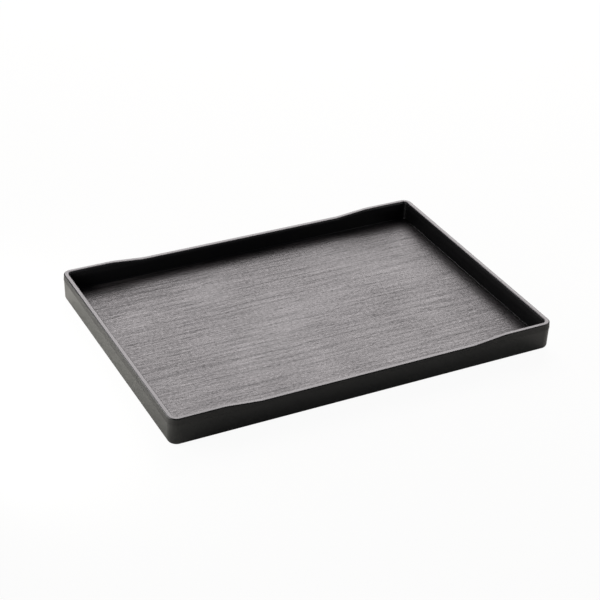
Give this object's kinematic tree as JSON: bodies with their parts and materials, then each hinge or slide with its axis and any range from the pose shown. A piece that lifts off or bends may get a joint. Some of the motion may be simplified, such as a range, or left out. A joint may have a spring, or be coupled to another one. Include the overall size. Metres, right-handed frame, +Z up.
{
  "type": "tea tray",
  "caption": "Low rectangular serving tray with upright walls, long sides lowered in the middle, a wood-grain deck panel in the well and soft feet under the base.",
  "frame": {"origin": "centre of the tray's outline on the table, under the four feet", "axes": "+X along the tray to the right, +Y from the front long side to the back one, +Z up"},
  "size_m": [0.34, 0.24, 0.025],
  "materials": {
    "shell": "satin black moulded plastic",
    "deck": "charcoal wood-grain textured sheet with a low sheen",
    "foot": "soft matt black rubber",
    "film": "thin double-sided adhesive film"
  },
  "bodies": {
    "root": {"tray_shell": "shell", "deck_panel": "deck", "deck_film": "film", "foot_front_left": "foot", "foot_front_right": "foot", "foot_rear_left": "foot", "foot_rear_right": "foot", "foot_film_front_left": "film", "foot_film_front_right": "film", "foot_film_rear_left": "film", "foot_film_rear_right": "film"}
  },
  "joints": []
}
